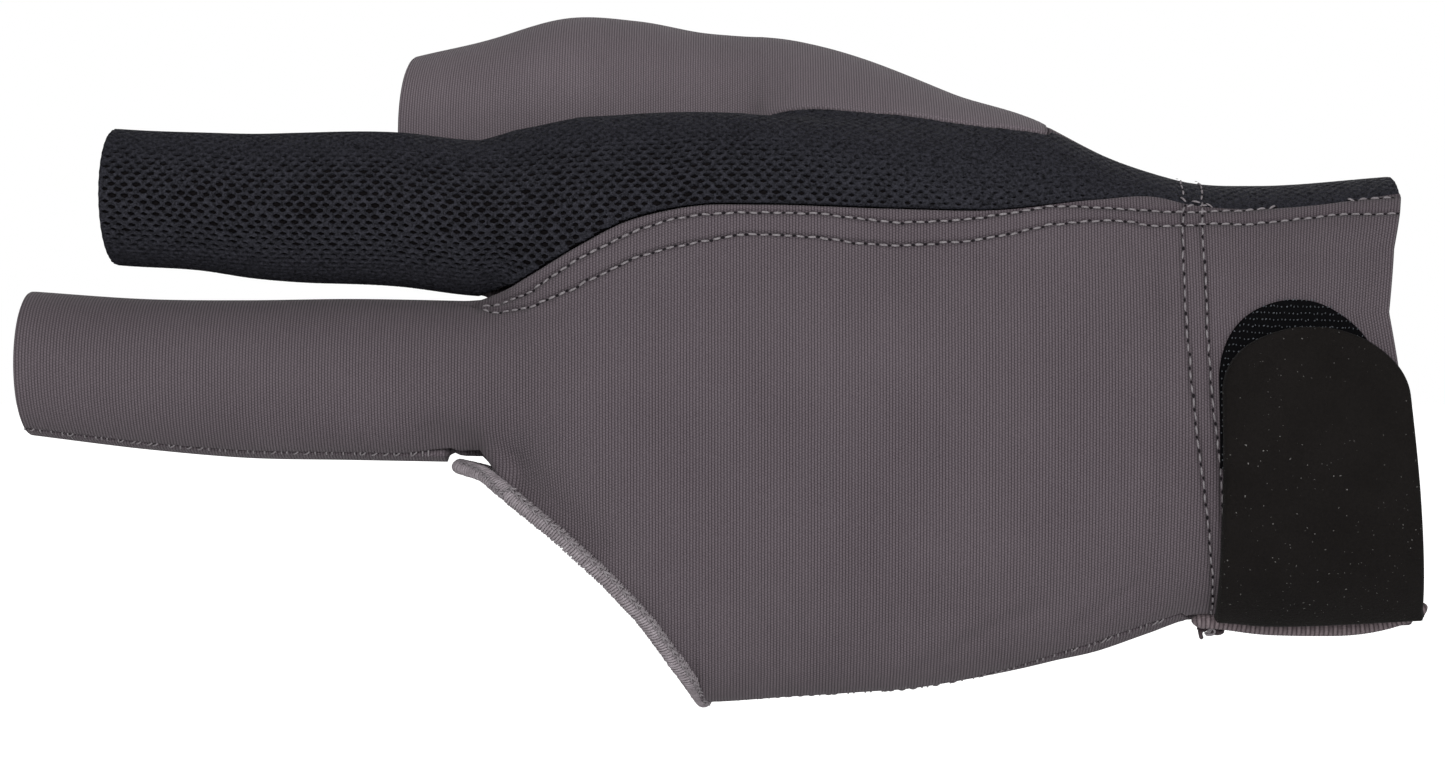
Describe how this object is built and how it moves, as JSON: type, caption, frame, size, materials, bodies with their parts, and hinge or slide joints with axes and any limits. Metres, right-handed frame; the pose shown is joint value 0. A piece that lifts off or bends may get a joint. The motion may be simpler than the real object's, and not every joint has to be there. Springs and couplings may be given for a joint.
{
  "type": "billiard glove",
  "caption": "Stretch glove for the left hand with thumb, index and middle fingers open at the tips, a mesh strip, an open side for the other fingers and a wrist strap.",
  "frame": {"origin": "middle of the wrist opening", "axes": "+X out of the wrist opening, away from the fingers; +Z towards the thumb side; +Y towards the palm"},
  "size_m": [0.1946, 0.0656, 0.0996],
  "materials": {
    "gray_knit": "fine stretch knit, matt",
    "thumb_knit": "fine stretch knit, matt",
    "air_mesh": "open spacer mesh, slight sheen",
    "edge_thread": "overlocked thread",
    "strap_suede": "napped, matt",
    "hook_loop": "hook-and-loop pile"
  },
  "bodies": {
    "root": {"mesh_panel": "air_mesh", "back_panel": "gray_knit", "palm_panel": "gray_knit", "thumb_panel": "thumb_knit", "opening_edge": "edge_thread", "slit_edge": "thumb_knit", "strap_tab": "strap_suede", "hook_pad": "hook_loop"}
  },
  "joints": []
}
